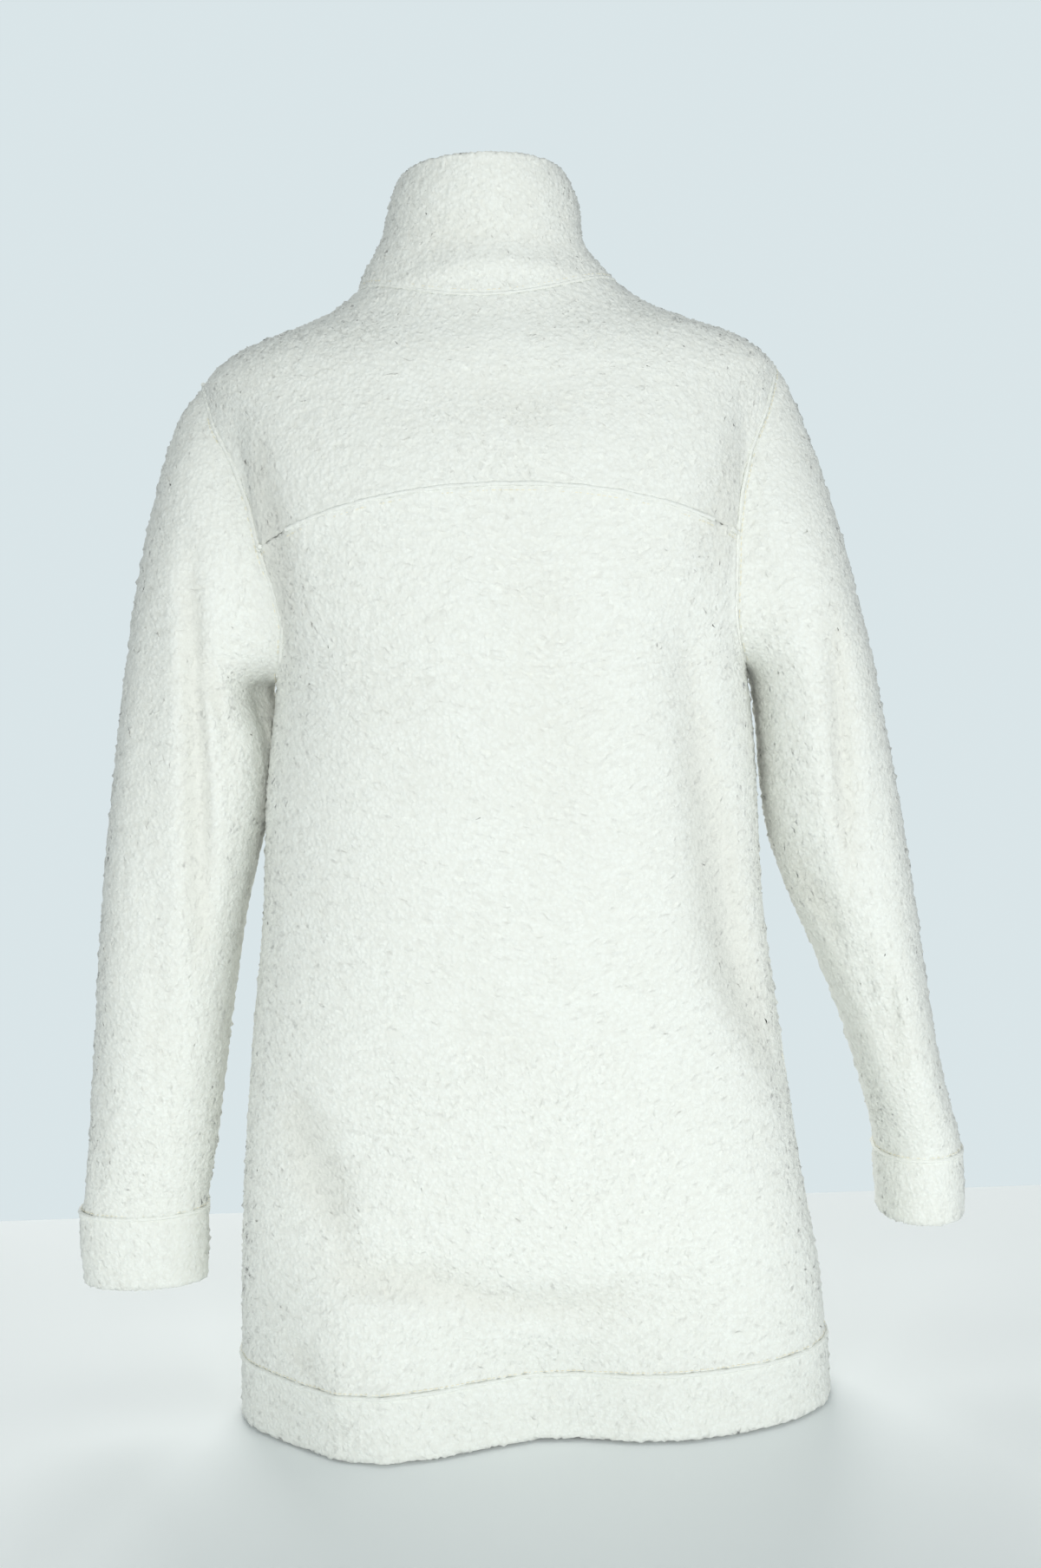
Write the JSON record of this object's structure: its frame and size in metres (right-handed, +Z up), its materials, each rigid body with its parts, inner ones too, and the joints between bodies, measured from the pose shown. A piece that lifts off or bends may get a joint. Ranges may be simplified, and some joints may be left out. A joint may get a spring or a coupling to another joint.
{
  "type": "long fleece jacket",
  "caption": "Hip-length fleece jacket with a stand collar, curved back yoke, set-in sleeves and a full front zip, filled out as worn and hollow.",
  "frame": {"origin": "middle of the neck, level with the back neck seam, where the neck inside carries the jacket", "axes": "+Z up, the front with its zip faces -Y, the wearer's left is +X"},
  "size_m": [0.6605, 0.2532, 0.862],
  "materials": {
    "fleece": "cream curly-pile fleece",
    "zip_tape": "woven cream tape",
    "zip_metal": "satin nickel"
  },
  "bodies": {
    "jacket": {"back_yoke": "fleece", "back_panel": "fleece", "front_left": "fleece", "front_right": "fleece", "hem_band": "fleece", "collar": "fleece", "sleeve_left": "fleece", "sleeve_right": "fleece", "cuff_left": "fleece", "cuff_right": "fleece", "zip_tape_left": "zip_tape", "zip_tape_right": "zip_tape", "zip_slider": "zip_metal"},
    "pull_tab": {"zip_pull": "zip_metal"}
  },
  "joints": [
    {"name": "pull_swing", "type": "hinge", "parent": "jacket", "child": "pull_tab", "pos_m": [0, -0.06954, 0.04407], "axis": [-1, 0, 0], "range_deg": [0, 165]}
  ]
}
